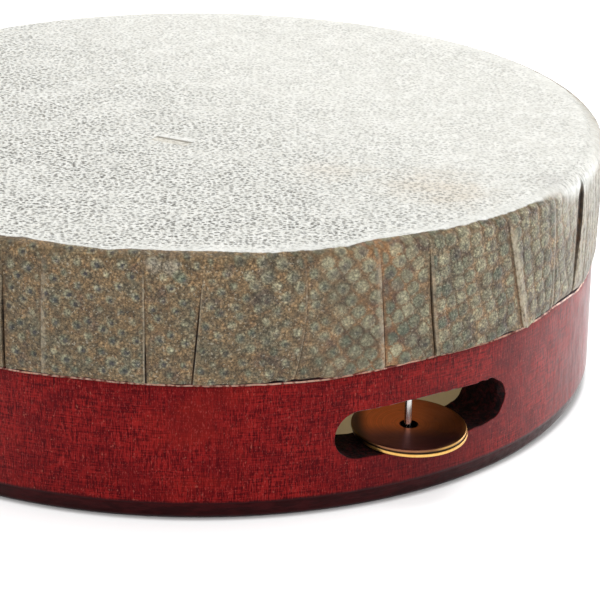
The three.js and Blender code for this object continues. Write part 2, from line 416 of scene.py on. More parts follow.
def wood_look():
    look = Look("stained_wood")
    upright = look.noise(0.3, 2.0, 0.65, stretch=(1, 1, 8))
    level = look.noise(0.3, 2.0, 0.6, stretch=(14, 14, 1), shift=40)
    weave = upright * 0.6 + level * 0.4
    dark = look.noise(15, 5.0, 0.65)
    warm = look.noise(13, stretch=(2, 2, 1), shift=15)
    flecks = look.noise(0.6, 1.0, stretch=(1, 1, 1.6))
    grain = look.noise(0.26, 1.0, stretch=(1, 1, 2.5), shift=33)
    under_slot_shade = look.away(SHADE_UNDER_SLOT) + look.noise(7.0) * 14.0
    inside, char = look.paint("inside"), look.paint("char")
    raw = look.spread(upright, 0.35, 0.65, (120, 70, 45), (160, 104, 66))
    foot = look.z + look.noise(3.0) * 0.6
    foot = look.ramp(foot, FOOT_BEVEL_HEIGHT + 0.05, FOOT_BEVEL_HEIGHT + 0.95, 1.0, 0.0)
    # Bare wood where the knife scored the stain, painted up to nearly white: its own colour, and a painted
    # highlight where it catches the light
    bare = look.mix(look.noise(0.9, 2.0, shift=21), (246, 150, 108), (255, 236, 220))
    broken = look.ramp(look.noise(1.5), 0.38, 0.56, 0.12, 1.0)
    # Last come the blackened foot, the knife line's bare wood, painted in part as a highlight, the painted
    # shadow under the skin's edge and the slot's burnt lip
    red = look.layers(
        look.spread(weave, 0.39, 0.6, (74, 0, 6), (152, 30, 29)),
        (look.ramp(dark, 0.42, 0.64, 0.0, 0.6), (88, 3, 12)),
        (look.ramp(warm, 0.5, 0.75, 0.0, 0.45), (150, 34, 24)),
        (look.ramp(flecks, 0.68, 0.8, 0.0, 0.5), (190, 100, 84)),
        (look.ramp(grain, 0.56, 0.74, 0.0, 0.35), (190, 80, 74)),
        # Painted shade on the wood under the slot and its discs
        (look.ramp(under_slot_shade, 12.0, 34.0, 0.5, 0.0), (78, 6, 14)),
        (inside, raw),
        (foot * (1.0 - inside), (44, 4, 8)),
        (look.paint("scored") * broken, bare),
        (look.paint("shadow"), (16, 6, 6)),
        (char, (18, 8, 8)),
    )
    rough = look.ramp(look.noise(1.6, stretch=(1, 1, 4)), 0.3, 0.7, 0.3, 0.42)
    shader = look.principled(
        base_color=red,
        roughness=look.larger(rough, look.larger(char, inside) * 0.85),
        normal=look.bump(weave, 0.05),
        ior=1.65,
        specular_tint=FAINT_MIRROR,
        sheen_weight=1.0,
        sheen_roughness=0.145,
    )
    return look.done(shader)


def foot_look():
    look = Look("blackened_foot")
    tint = look.spread(look.noise(1.4, 4.0, stretch=(3, 3, 1)), 0.35, 0.65, (42, 10, 12), (60, 17, 19))
    shader = look.principled(
        # The bottom edge is painted half grey: a painted reflection of the white table
        base_color=look.mix(look.ramp(look.z, 0.3, 0.8, 0.5, 0.0), tint, (84, 80, 82)),
        roughness=look.ramp(look.noise(1.6), 0.3, 0.7, 0.35, 0.5),
        normal=look.bump(look.noise(0.4, 2.0, stretch=(6, 6, 1)), 0.04),
        specular_ior_level=0.15,
        specular_tint=FAINT_MIRROR,
        sheen_weight=1.0,
        sheen_roughness=0.18,
    )
    return look.done(shader)


# Dark wood without sheen: the slot's burnt walls, and a strip of painted shadow under the skin's edge
def char_and_shadow_look():
    look = Look("char_and_shadow_wood")
    shade = look.noise(1.1, 4.0, 0.7)
    shader = look.principled(
        base_color=look.spread(shade, 0.42, 0.7, (14, 6, 7), (70, 21, 23)),
        roughness=look.ramp(look.noise(0.8), 0.3, 0.7, 0.6, 0.85),
        normal=look.bump(shade, 0.5),
        specular_ior_level=0.15,
    )
    return look.done(shader)


# Stains on the head, the last a painted shade where the head folds in by the open gap: where they are, how
# wide, how strong, and their colour
TAN = (226, 204, 172)
STAINS_AND_SHADE = [
    (51, -50, 17, 0.3, TAN),
    (58, -58, 12, 0.25, TAN),
    (29, -40, 13, 0.2, TAN),
    # A painted shade of the fold by the open gap
    (79, -46, 8, 0.45, (202, 200, 196)),
]
# A crease in the head: its ends, and its shaded side, its lit side and the dark line between them, each
# with its place across the crease, its half width, its strength and its colour
CREASE_START = (-10.4, -15.3)
CREASE_END = (-1.7, -20.2)
CREASE_SIDES = [
    (-1.5, 1.8, 0.5, (224, 217, 200)),
    (1.3, 1.5, 0.9, (249, 250, 246)),
    (0.0, 0.7, 0.8, (112, 106, 92)),
]
# A pale scar in the collar's front, with a large green scale below it
SCAR = [(-9.6, -95.6, 59.0), (-6.0, -95.9, 58.6)]
SCAR_SCALE = (-4.4, -96.0, 56.7)
SCAR_HALF_WIDTH = 1.7
# The head lets this share of the light through. From the first height to the second it sets in.
CLEAR_FROM = 59.0
CLEAR_AT = 60.2
CLEAR_SHARE = 0.18


def head_colour(look, pits):
    """The playing face: pale, with stains and a painted shade by the open gap, pits whose dark is painted
    shade in the dimples, and one crease with its painted shade and highlight.
    """
    pale = look.spread(look.noise(3.0, 4.0), 0.3, 0.7, (233, 234, 228), (250, 251, 246))
    for x, y, size, share, tint in STAINS_AND_SHADE:
        edge = look.away((x, y, SKIN_TOP)) + look.noise(6.0) * size
        pale = look.mix(look.ramp(edge, 0.4 * size, 1.5 * size, share, 0.0), pale, tint)
    # The pits' dark is painted shade in the dimples
    pale = look.mix(pits * 0.9, pale, (50, 50, 46))
    length = math.dist(CREASE_START, CREASE_END)
    way_x, way_y = [(b - a) / length for a, b in zip(CREASE_START, CREASE_END)]
    x, y = look.x - CREASE_START[0], look.y - CREASE_START[1]
    along, across = x * way_x + y * way_y, y * way_x - x * way_y
    within = look.ramp(abs(along - length / 2), length / 2 - 0.5, length / 2, 1.0, 0.0)
    for middle, half_width, share, tint in CREASE_SIDES:
        line = look.ramp(abs(across - middle), half_width / 2, half_width, share, 0.0)
        pale = look.mix(line * within, pale, tint)
    return pale


def collar_colour(look, over, between):
    """The collar: spots on a granular ground to the left, cobbled scales with brown seams to the right."""
    tone, dome, cobble, bleach = [look.paint(name) for name in ("tone", "dome", "cobble", "bleach")]
    slow = look.noise(9.0, 4.0, 0.6)
    hue = look.noise(2.6, 4.0, 0.62, shift=31)
    near_rim = look.ramp(slow - over * 0.03, 0.05, 0.5, 0.0, 0.3)
    green = look.noise(7.0, 4.0, 0.6, shift=45)
    ground = look.layers(
        look.spread(hue, 0.36, 0.64, (109, 95, 73), (138, 114, 82)),
        (near_rim * look.ramp(hue, 0.3, 0.55), (142, 112, 76)),
        (look.ramp(green, 0.5, 0.68, 0.0, 0.5), (106, 107, 90)),
    )
    body = look.mix(tone, (98, 107, 90), (174, 169, 139))
    seam = look.spread(slow, 0.35, 0.65, (94, 72, 55), (148, 103, 64))
    softer = look.ramp(look.x, 34, 50)
    raised = look.larger(look.ramp(dome, 0.0, 0.9, 0.18, 1.0), softer * 0.46)
    cobbles = look.mix(raised * look.ramp(hue, 0.35, 0.65, 1.0, 0.66), seam, body)

    # Patches, then dark dots in pale rings, each dot set low on its scale so that it also stands as painted
    # shade of the scale's lower side, then the scar
    patches = look.noise(5.0, 4.0, 0.6, shift=77)
    blotches = look.noise(4.2, shift=19)
    rust = look.noise(2.0, shift=66)
    ragged = (look.noise(0.7, 2.0, shift=8) - 0.5) * 0.7
    reach = look.paint("dot") + ragged
    strong = look.ramp(tone, 0.1, 0.9, 0.75, 1.0) * look.ramp(look.x, -10, 15, 1.0, 0.55)
    halo = look.ramp(reach, 0.6, 1.0) * look.ramp(reach, 1.1, 1.8, 0.4, 0.0)
    scar = look.math("MINIMUM", *[look.away(point) for point in SCAR]) + ragged
    scale = look.away(SCAR_SCALE) + ragged
    brown = look.layers(
        look.mix(dome * 0.85, ground, body),
        (cobble, cobbles),
        (look.ramp(patches, 0.55, 0.7, 0.0, 0.55), (94, 78, 72)),
        (look.ramp(blotches, 0.54, 0.66, 0.0, 0.6) * cobble, (80, 58, 56)),
        (look.ramp(rust, 0.52, 0.7, 0.0, 0.3) * look.ramp(cobble, 0.0, 1.0, 1.0, 0.3), (142, 100, 66)),
        (halo * strong, (146, 145, 122)),
        (look.ramp(reach, 0.4, 1.05, 0.9, 0.0) * strong, (58, 57, 64)),
        (look.ramp(scar, 0.5 * SCAR_HALF_WIDTH, 1.5 * SCAR_HALF_WIDTH, 0.55, 0.0), (190, 180, 160)),
        (look.ramp(scale, 0.6 * SCAR_HALF_WIDTH, 1.1 * SCAR_HALF_WIDTH, 0.6, 0.0), (104, 117, 98)),
    )

    # Granules, each painted lighter in its middle and darker at its border as painted shading of a bead,
    # calmer on the cobbles; slow changes from place to place; and painted shade towards the collar's left and
    # right ends
    granules = look.ramp(look.cells(0.7, "Color"), 0.25, 0.75, 0.76, 1.28)
    fine = look.ramp(look.noise(0.45, 2.0, 0.7, shift=57), 0.3, 0.7, -0.56, 0.64)
    # Painted shading of each granule as a lit bead
    light = granules * look.ramp(between, 0.1, 0.6, 1.22, 0.76) * (fine + 1.0)
    calm = look.larger(look.ramp(cobble, 0.0, 0.6, 1.0, 0.65), softer * 0.9)
    light = ((light - 1.0) * calm + 1.0) * look.ramp(slow, 0.3, 0.7, 0.86, 1.14)
    # Painted shade: the collar is darker towards its left and its right end
    light = light * look.ramp(look.x, -45, 5, 0.88, 0.98) * look.ramp(look.x, 50, 62, 1.0, 0.9)
    specks = look.ramp(look.noise(0.55, 1.0, shift=90), 0.62, 0.74, 0.0, 0.5)
    uneven = look.ramp(look.noise(1.5, 4.0, 0.65, shift=13), 0.36, 0.6, 0.15, 1.0)
    return look.layers(
        look.scaled(brown, light),
        (specks * calm, (200, 191, 170)),
        (look.paint("shade") * uneven, (112, 76, 46)),
        # Pale bands on the tucks' lips: the raw edge's colour and a painted highlight
        (look.paint("pale") * uneven, (198, 186, 162)),
        # Painted sheen, whitening the collar at the drum's right limb
        (bleach * look.ramp(uneven, 0.0, 1.0, 0.5, 1.0), (204, 200, 190)),
    )


def skin_look():
    look = Look("lizard_skin")
    over, bleach = look.paint("over"), look.paint("bleach")

    # Pits all over the head, their dark painted shade in the dimples; fewer to the back and right, where the
    # light comes from, and hardly any along the rim
    band = over / look.ramp(look.x, -30, 15, 1.4, 4.2)
    side = look.x * 0.9 + look.y * 0.7
    strength = look.ramp(side, -50, 60, 1.0, 0.45) * look.ramp(band, -1.2, -0.1, 1.0, 0.3)
    strength = strength * look.ramp(look.noise(12, 4.0, 0.6), 0.3, 0.62, 0.6, 1.0)
    pit = look.ramp(look.cells(1.15, flat=True), 0.16, 0.43, 1.0, 0.0)
    prick = look.ramp(look.cells(0.75, flat=True), 0.1, 0.4, 0.5, 0.0)
    pits = look.larger(pit, prick) * look.ramp(look.noise(1.8), 0.34, 0.58, 0.4, 1.0) * strength

    between = look.cells(0.7)
    wander = (look.noise(2.6, 4.0, 0.6) - 0.5) * 1.4
    # Where the sheen is painted, the pale head blends more softly down into the collar
    head = look.ramp(over + wander, -0.15 - bleach * 4.0, bleach * 4.0 + 0.25, 1.0, 0.0)
    tint = look.mix(head, collar_colour(look, over, between), head_colour(look, pits))
    # Painted dark in the gaps and on their cut walls: what shows under the skin, darkened as painted shade
    inside = look.spread(look.noise(2.6, 4.0, shift=5), 0.4, 0.65, (38, 25, 15), (96, 70, 42))
    relief = look.bump(1.0 - pits * head, 0.3)
    relief = look.bump(look.paint("dome"), 0.2, relief)
    relief = look.bump((1.0 - head) * (1.0 - between), 0.1, relief)
    surface = look.principled(
        base_color=look.mix(look.paint("crevice"), tint, inside),
        roughness=0.55,
        normal=relief,
        specular_ior_level=0.3,
        sheen_weight=0.15,
        sheen_roughness=0.4,
    )
    glow = look.node("ShaderNodeBsdfTranslucent", {"Color": colour(238, 214, 160)})
    share = look.ramp(look.z, CLEAR_FROM, CLEAR_AT) * CLEAR_SHARE
    return look.done(look.node("ShaderNodeMixShader", {0: share, 1: surface, 2: glow}))


def brass_look():
    look = Look("old_brass")
    turn = math.radians(SLOT_AZIMUTH)
    pin_x, pin_y = PIN_RING * math.sin(turn), -PIN_RING * math.cos(turn)
    across, depth = look.x - pin_x, look.y - pin_y
    out = look.away((pin_x, pin_y, SLOT_FLOOR + 2))
    spun = look.node("ShaderNodeCombineXYZ", {"X": out})
    spun = look.node("ShaderNodeTexNoise", {"Vector": spun, "Scale": 3.0})
    # Painted reflection and shade on the brass: bright orange at the back, which mirrors the lit inside of
    # the drum, dull at the front, dark at the left edge, and darker to the right, which mirrors the slot's
    # dark wall
    brown = look.spread(depth + look.noise(4.0) * 3.0, -5.5, 1.5, (124, 66, 62), (224, 122, 66))
    light = look.ramp(across, -12.0, -8.5, 0.08, 1.0) * look.ramp(across, -3.0, 8.0, 1.0, 0.4)
    tint = look.layers(
        look.scaled(brown, light * look.ramp(spun, 0.3, 0.7, 0.85, 1.15)),
        (look.ramp(look.noise(1.2), 0.6, 0.72, 0.0, 0.25), (84, 44, 36)),
        (look.paint("worn"), look.mix(look.noise(0.8), (218, 160, 72), (246, 204, 126))),
        # Painted shade round the hole and in the gap between the discs
        (look.paint("grime"), (14, 8, 7)),
    )
    shader = look.principled(
        base_color=tint,
        metallic=0.9,
        roughness=look.ramp(look.noise(2.0, 4.0), 0.3, 0.7, 0.28, 0.4),
        normal=look.bump(look.noise(0.5, 2.0), 0.004),
    )
    return look.done(shader)


def steel_look():
    look = Look("bright_steel")
    drawn = look.noise(0.12, 2.0, stretch=(1, 1, 30))
    shader = look.principled(
        base_color=look.mix(drawn, (186, 184, 180), (226, 225, 222)),
        metallic=1.0,
        roughness=look.ramp(drawn, 0.3, 0.7, 0.14, 0.3),
        normal=look.bump(drawn, 0.01),
    )
    return look.done(shader)


# Tucks of the front: azimuths at the collar's edge, half-way and at the shoulder; the side on top;
# an open gap's width and where it starts, as a share from shoulder to edge; the lip's height, the
# strength and width of its pale band, which is the raw edge's colour and a painted highlight on the
# raised lip, and the shade on the skin beside it.
TUCK_TERMS = ("at", "top", "gap", "from", "lip", "pale", "band", "shade")
FRONT_TUCKS = [
    ((-25.7, -25.7, -25.6), -1, 0.6, 0.25, 0.5, 0.2, 0.4, 0.3),
    ((-20.5, -20.35, -20.2), 1, 0.0, 0.0, 0.3, 0.4, 1.5, 0.1),
    ((-6.8, -6.9, -7.0), -1, 0.4, 0.5, 0.4, 0.5, 0.4, 0.2),
    ((-1.0, -0.2, 0.6), 1, 0.4, 0.2, 0.4, 0.3, 0.5, 0.2),
    ((12.0, 13.5, 13.1), -1, 0.14, 0.35, 0.1, 0.25, 0.5, 0.0),
    ((24.4, 23.8, 23.2), -1, 0.3, 0.15, 0.35, 0.6, 1.5, 0.15),
    ((32.0, 31.0, 30.6), 1, 0.5, 0.1, 0.55, 0.4, 0.9, 0.3),
    ((48.3, 46.0, 44.0), 1, 0.0, 0.0, 0.4, 0.8, 3.4, 0.6),
    ((56.5, 55.9, 55.3), -1, 0.0, 0.0, 0.12, 0.4, 0.35, 0.0),
    ((63.4, 63.9, 64.5), 1, 3.6, 0.0, 0.15, 0.75, 2.5, 0.0),
    ((68.2, 67.9, 67.6), 1, 0.0, 0.0, 0.15, 0.3, 0.6, 0.0),
]


def all_tucks():
    """The tucks seen in front, then those behind, which vary by sines that never fall in step."""
    tucks = [dict(zip(TUCK_TERMS, tuck)) for tuck in FRONT_TUCKS]
    first, last = tucks[0]["at"][0], tucks[-1]["at"][0]
    pitch = (360 + first - last) / (BACK_TUCKS + 1)
    for k in range(BACK_TUCKS):
        edge = last + (k + 1) * pitch + BACK_TUCK_SWAY * math.sin(2.4 * k)
        lean = BACK_TUCK_SWAY * math.sin(1.7 * k + 0.6)
        line = edge, edge + lean / 2 + 0.3 * math.sin(2.9 * k), edge + lean
        top = 1 if k % 3 == 1 else -1
        gap = 0.4 if k % 4 == 2 else 0.0
        lip = (0.42 + 0.18 * math.sin(3.7 * k)) * smooth(70, 110, edge)
        pale = 0.4 + 0.25 * math.sin(5.1 * k)
        band = 0.9 + 0.6 * math.sin(4.3 * k)
        tucks.append(dict(zip(TUCK_TERMS, (line, top, gap, 0.25, lip, pale, band, 0.25))))
    return tucks


RIM_STEPS = 7
COLLAR_ROWS = 50
SKIN_COLUMNS = 1472
FRONT_WEIGHT = 1.5
COLLAR_EDGE = 32.0
TUCK_START = 1.5
EDGE_OFFSETS = (0.0, 0.12, 0.4, 0.9)
WIDE_GAP = 1.0
LEAST_GAP = 0.1
GAP_WALL = 0.03
FILM = 0.06
LEAST_SKIN = 0.1
SCALE_PITCH = 3.5
SCALE_RELIEF = 0.14
# The dark dots are the skin's own pattern, set off their scales' middles, down and a little aside, so that
# they also stand as painted shade on each scale's lower side
DOT_SIDE = 0.15
DOT_DROP = 0.45
FAR = 9.0
FAR_INSIDE = -15.0
# Azimuths that a form of the collar keeps to: from, fully from, fully to, to
COBBLED = (8, 26, 80, 120)
LARGE_SPOTS = (2, 9, 26, 34)
# Where the collar gets a painted sheen, at the drum's right limb
PAINTED_SHEEN = (50, 60, 84, 110)
LIES_TIGHT = (44, 60, 95, 115)
# Rings of the head from its rim in: radius, and how far its points have moved to even steps
HEAD_EVENED = [(92.2, 0.1), (91.0, 0.3), (89.0, 0.65), (86.5, 1.0)]
HEAD_RINGS = (80.0, 70.0, 56.0, 40.0, 24.0)


def tuck_line(tuck, t, turns=0):
    """Azimuth of a tuck at shares t of the way down, on a curve through its three points."""
    edge, middle, shoulder = tuck["at"]
    line = 2 * (t - 0.5) * (t - 1) * shoulder - 4 * t * (t - 1) * middle + 2 * t * (t - 0.5) * edge
    return line + 360 * turns


def tuck_gap(tuck, t):
    """Width of the gap down the collar. A wide one is a leaf, and a narrow one opens downwards."""
    if tuck["gap"] > WIDE_GAP:
        open_share = smooth(0.0, 0.2, t) * (1 - 0.75 * smooth(0.35, 1.0, t))
    else:
        open_share = smooth(tuck["from"], tuck["from"] + 0.35, t)
    return np.maximum(tuck["gap"] * open_share, LEAST_GAP), open_share


def scale_pattern(along, up, turn):
    """Distances to the nearest scale's middle and to its dot, the lead on the next scale, and three chances.

    The next scale of the same row counts as further off, so that the seams between rows are the wider."""
    a = (along * np.cos(turn) + up * np.sin(turn)) / SCALE_PITCH
    b = (up * np.cos(turn) - along * np.sin(turn)) / SCALE_PITCH
    chances = np.random.default_rng(31).random((5, CHANCES))
    cells = np.floor(a).astype(int), np.floor(b).astype(int)
    nearest, second = np.full(a.shape, FAR), np.full(a.shape, FAR)
    row, second_row, dot = np.zeros(a.shape), np.zeros(a.shape), np.zeros(a.shape)
    kept = np.zeros((3,) + a.shape)
    for da, db in itertools.product((-1, 0, 1), repeat=2):
        ca, cb = cells[0] + da, cells[1] + db
        drawn = chances[:, table_key((ca, cb))]
        from_a = (a - ca - 0.5 - 0.5 * (drawn[0] - 0.5)) * SCALE_PITCH
        from_b = (b - cb - 0.5 - 0.4 * (drawn[1] - 0.5)) * SCALE_PITCH
        away = np.hypot(from_a, from_b)
        closer, next_closer = away < nearest, away < second
        second_row = np.where(closer, row, np.where(next_closer, cb, second_row))
        second = np.where(closer, nearest, np.minimum(second, away))
        row = np.where(closer, cb, row)
        dot = np.where(closer, np.hypot(from_a - DOT_SIDE, from_b + DOT_DROP), dot)
        nearest = np.where(closer, away, nearest)
        kept = np.where(closer, drawn[2:], kept)
    return nearest, dot, (second - nearest) * np.where(row == second_row, 2.0, 1.0), kept


def panel_counts(tucks):
    """Columns inside each panel, closer in front, so that all the columns of the skin add up."""
    starts = [tuck["at"][1] for tuck in tucks]
    spans = [b - a for a, b in zip(starts, starts[1:] + [starts[0] + 360])]
    shares = [span * (FRONT_WEIGHT if k < len(FRONT_TUCKS) - 1 else 1) for k, span in enumerate(spans)]
    spare = SKIN_COLUMNS - len(tucks) * (2 * len(EDGE_OFFSETS) + 2)
    counts = [int(spare * share / sum(shares)) for share in shares]
    order = sorted(range(len(shares)), key=lambda k: -shares[k])
    for i in range(spare - sum(counts)):
        counts[order[i % len(order)]] += 1
    return counts


def lip_shape(tuck, place):
    """Height of the skin on top of a tuck, at a place from its edge, and its paleness: the raw edge's own
    colour and a painted highlight on the lip.
    """
    height = tuck["lip"] * (1 - smooth(0, TUCK_LIP_RUN, place) - 0.25 * (1 - smooth(0, 0.4, place)))
    return height, tuck["pale"] * (1 - smooth(0.25 * tuck["band"], tuck["band"], place))


def side_shade(tuck, place):
    """The shade on the skin that lies under a tuck, at a place from its edge."""
    return tuck["shade"] * (1 - smooth(0.1, 1.6, place))


def collar_fields(t):
    """Azimuth, height over the plain skin, painted values and panel of every column at the rows t."""
    tucks = all_tucks()
    counts = panel_counts(tucks)
    per_degree = math.radians(SKIN_OUTER)
    fade = smooth(0.0, 0.3, t)
    none = 0 * t
    columns = []
    for k, tuck in enumerate(tucks):
        after = (k + 1) % len(tucks)
        following = tucks[after]
        line = tuck_line(tuck, t)
        next_line = tuck_line(following, t, turns=0 if after else 1)
        gap, opened = tuck_gap(tuck, t)
        next_gap, _ = tuck_gap(following, t)
        low_edge = line + gap / 2 / per_degree
        high_edge = next_line - next_gap / 2 / per_degree
        width = (high_edge - low_edge) * per_degree
        start, end = EDGE_OFFSETS[-1], width - EDGE_OFFSETS[-1]
        places = [offset + none for offset in EDGE_OFFSETS]
        places += [start + (end - start) * (i + 1) / (counts[k] + 1) for i in range(counts[k])]
        places += [width - offset for offset in reversed(EDGE_OFFSETS)]

        # Two columns in the gap's floor, then the panel from edge to edge
        deep = tuck["gap"] > 0
        # The gap's floor, and a wide gap's cut wall beside it, are painted dark: what shows under the skin,
        # darkened as painted shade. A closed tuck gets a thin line of painted shade.
        floor = -(SKIN_THICKNESS - FILM) * opened if deep else -0.1 * fade
        dark = np.maximum(opened, 0.2 * fade) if deep else 0.08 * fade
        wall = np.minimum(GAP_WALL, gap / 3)
        for side in (-1, 1):
            azimuth = line + side * (gap / 2 - wall) / per_degree
            columns.append((azimuth, floor, none, none, none, dark, none + k))
        for i, place in enumerate(places):
            back = width - place
            lip, pale, shade = none, none, none
            cut = 0.8 * opened if i == 0 and tuck["gap"] > WIDE_GAP else none
            if tuck["top"] > 0:
                lip, pale = lip_shape(tuck, place)
            else:
                shade = side_shade(tuck, place)
            if following["top"] < 0:
                far_lip, far_pale = lip_shape(following, back)
                lip, pale = np.maximum(lip, far_lip), np.maximum(pale, far_pale)
            else:
                shade = np.maximum(shade, side_shade(following, back))
            clear = smooth(0.1, 0.9, np.minimum(place, back))
            where = low_edge + place / per_degree
            columns.append((where, lip * fade, clear, pale * fade, shade * fade, cut, none + k))
    names = "azimuth", "height", "clear", "pale", "shade", "crevice", "panel"
    field = {name: np.stack([c[i] for c in columns], -1) for i, name in enumerate(names)}
    middles = [(a["at"][1] + b["at"][1]) / 2 for a, b in zip(tucks, tucks[1:])]
    return field, np.array(middles + [tucks[-1]["at"][1] + 4])


def head_face(skin, ring, azimuths, rim, height, below=False):
    """Rings from one of the skin's own in to the axis, ever coarser.

    Rim gives the first rings: radius, height, and how far their points have moved to even steps."""
    around = azimuths[::2]
    even = around[0] + 360 * np.arange(len(around)) / len(around)
    rings = [(out, up, around + (even - around) * share) for out, up, share in rim]
    for out in HEAD_RINGS:
        even = even[::2]
        rings.append((out, height, even))
    for out, up, spread in rings:
        over = FAR_INSIDE if below else past_rim(out - RIM_START, spread)
        placed = skin.add(at(out, spread, up), over=over)
        if len(ring) > len(placed):
            skin.widen(placed, ring, below)
        elif below:
            skin.strip(ring, placed)
        else:
            skin.strip(placed, ring)
        ring = placed
    skin.fan(skin.add([0, 0, height], over=FAR_INSIDE), ring, below)


def make_skin(material):
    skin = Surface(["dome", "tone", "dot", "cobble", "pale", "shade", "bleach", "crevice", "over"])
    bend = np.concatenate([np.linspace(0, 90, RIM_STEPS + 1)[:-1], np.full(COLLAR_ROWS + 1, 90.0)])
    bend = np.radians(bend)[:, None]
    rows = np.concatenate([np.zeros(RIM_STEPS), np.linspace(0, 1, COLLAR_ROWS + 1)])[:, None]
    run = SKIN_OUTER_ROUND * bend + (SHOULDER - COLLAR_EDGE) * rows
    t = np.clip((run - TUCK_START) / (run[-1] - TUCK_START), 0, 1)[:, 0]
    field, middles = collar_fields(t)
    azimuth, clear = field["azimuth"], field["clear"]
    edge = edge_height(azimuth)
    height = SHOULDER + np.where(rows > 0, (edge - SHOULDER) * rows, SKIN_OUTER_ROUND * np.cos(bend))
    radius = SKIN_OUTER - SKIN_OUTER_ROUND * (1 - np.sin(bend))
    reach = SKIN_OUTER_ROUND * bend + np.where(rows > 0, SHOULDER - height, 0)
    over = past_rim(reach, azimuth)

    # Scales in slanting rows, with a jump at every tuck: spots on the left, cobbles on the right
    panel = field["panel"].astype(int)
    chance = np.random.default_rng(7)
    shifts = chance.uniform(-1.7, 1.7, (len(middles), 2))
    turns = np.interp(middles, (12, 20, 28, 40), (42, 36, 24, 11)) + chance.uniform(-4, 4, len(middles))
    along = (azimuth - middles[panel]) * math.radians(SKIN_OUTER) + shifts[panel, 0]
    away, beside, margin, chances = scale_pattern(along, shifts[panel, 1] - reach, np.radians(turns)[panel])
    cobble = plateau(*COBBLED, azimuth)
    cobble = np.clip(cobble + 0.7 * ring_noise(6, 26, azimuth, height) * cobble, 0, 1)
    size = 0.75 + 0.4 * ring_noise(5, 16, azimuth, height) + 0.35 * (chances[0] - 0.5)
    size = size + 0.35 * plateau(*LARGE_SPOTS, azimuth) * (1 - smooth(7, 15, over))
    spot = smooth(1.05 * size + 0.3, 1.05 * size - 0.4, away)
    stone = smooth(2.2, 1.05, away) * smooth(0.0, 0.85, margin)
    dome = (spot + (stone - spot) * cobble) * clear
    dot = np.where(chances[1] > 0.22 + 0.5 * cobble, beside / size, FAR) + FAR * (1 - clear)
    # Painted sheen: the collar is whitened near the rim and past the open gap towards the drum's right limb,
    # where light from behind grazes it
    bleach = 0.12 + 0.4 * (1 - smooth(0, 14, over)) + 0.27 * smooth(64.5, 65.5, azimuth)
    bleach = bleach * plateau(*PAINTED_SHEEN, azimuth)

    # The collar sways and waves, its edge lifts here and there, and at the right it lies tight
    upright = np.sin(bend)
    lift = 0.4 * smooth(0.1, 0.25, ring_noise(21, 7, azimuth)) * smooth(0.92, 1.0, rows)
    lift = lift * (1 - plateau(*CLEAN_CUT, azimuth))
    sway = 0.5 * ring_noise(3, 30, azimuth) * (1 - smooth(0.0, 0.5, rows)) * upright
    waves = 0.25 * ring_noise(4, 11, azimuth, height * 0.5) * upright * clear
    relief = SCALE_RELIEF * dome * upright
    tight = 0.45 * smooth(0.25, 1.0, rows) * plateau(*LIES_TIGHT, azimuth) + 0.3 * smooth(0.93, 1.0, rows)
    radius = radius + field["height"] * upright + sway + waves + relief - tight
    radius = np.where(rows > 0, np.maximum(radius, SKIN_INNER + LEAST_SKIN), radius) + lift
    collar = skin.add(
        at(radius, azimuth, height),
        dome=dome,
        tone=chances[2],
        dot=dot,
        cobble=cobble,
        pale=field["pale"],
        shade=field["shade"],
        bleach=bleach,
        crevice=field["crevice"],
        over=over,
    )
    skin.rows(collar)

    # The playing face, then the inner face from the cut edge up the shell and across under the head
    rim = [(out, SKIN_TOP, share) for out, share in HEAD_EVENED]
    head_face(skin, collar[0], azimuth[0], rim, SKIN_TOP)
    ring = skin.add(at(SKIN_INNER + lift[-1], azimuth[-1], edge[-1]), over=20.0)
    skin.strip(collar[-1], ring)
    middle, low = SKIN_INNER - SKIN_INNER_ROUND, SKIN_UNDER - SKIN_INNER_ROUND
    rim = [(SKIN_INNER, COLLAR_EDGE + 5, 0.0), (SKIN_INNER, low, 0.5)]
    for turn in (math.pi / 4, math.pi / 2):
        rim.append((middle + SKIN_INNER_ROUND * math.cos(turn), low + SKIN_INNER_ROUND * math.sin(turn), 0.8))
    rim.append((HEAD_EVENED[-1][0], SKIN_UNDER, 1.0))
    head_face(skin, ring, azimuth[-1], rim, SKIN_UNDER, below=True)
    return skin.build("skin_head", [material], sharp=38)


SHELL_COLUMNS = 480
# The window in both walls round the slot: columns to either side, heights, rows, and rings within
PATCH_HALF = 24
PATCH_LEFT = SHELL_COLUMNS // 2 - PATCH_HALF
PATCH_RIGHT = SHELL_COLUMNS // 2 + PATCH_HALF
PATCH_LOW = 5.0
PATCH_HIGH = 29.5
PATCH_ROWS = 32
PATCH_RINGS = (0.3, 0.55, 0.75, 0.88, 0.96, 1.0)
SLOT_EASE = 0.2
# Across the knife line: drop under it, share of its depth, bareness, shadow
KNIFE_LINE = [
    (-1.0, 0.0, 0.0, 0.0),
    (-0.7, 0.7, 0.0, 1.0),
    (0.5, 1.0, 0.0, 1.0),
    (0.54, 0.9, 1.0, 0.0),
    (0.82, 0.5, 1.0, 0.0),
    (0.88, 0.2, 0.0, 0.0),
    (1.15, 0.0, 0.0, 0.0),
]
# The knife line's row from which the strip of painted shadow, down to the next row, wears the char and shadow
# material
KNIFE_CUT = 1
# Azimuths between which that line is cut wider: from, fully from, fully to, to
WIDE_CUT = (56, 68, 90, 110)
# A ring of the wall that the skin hides
HIDDEN_RING = 45.0
# Down the foot: how far in from the wall, and height
FOOT_LINE = [
    (0.0, FOOT_BEVEL_HEIGHT + 0.35),
    (0.1, FOOT_BEVEL_HEIGHT - 0.3),
    (FOOT_BEVEL_INSET - 0.45, 1.1),
    (FOOT_BEVEL_INSET - 0.1, 0.3),
    (FOOT_BEVEL_INSET + 0.3, 0.0),
]
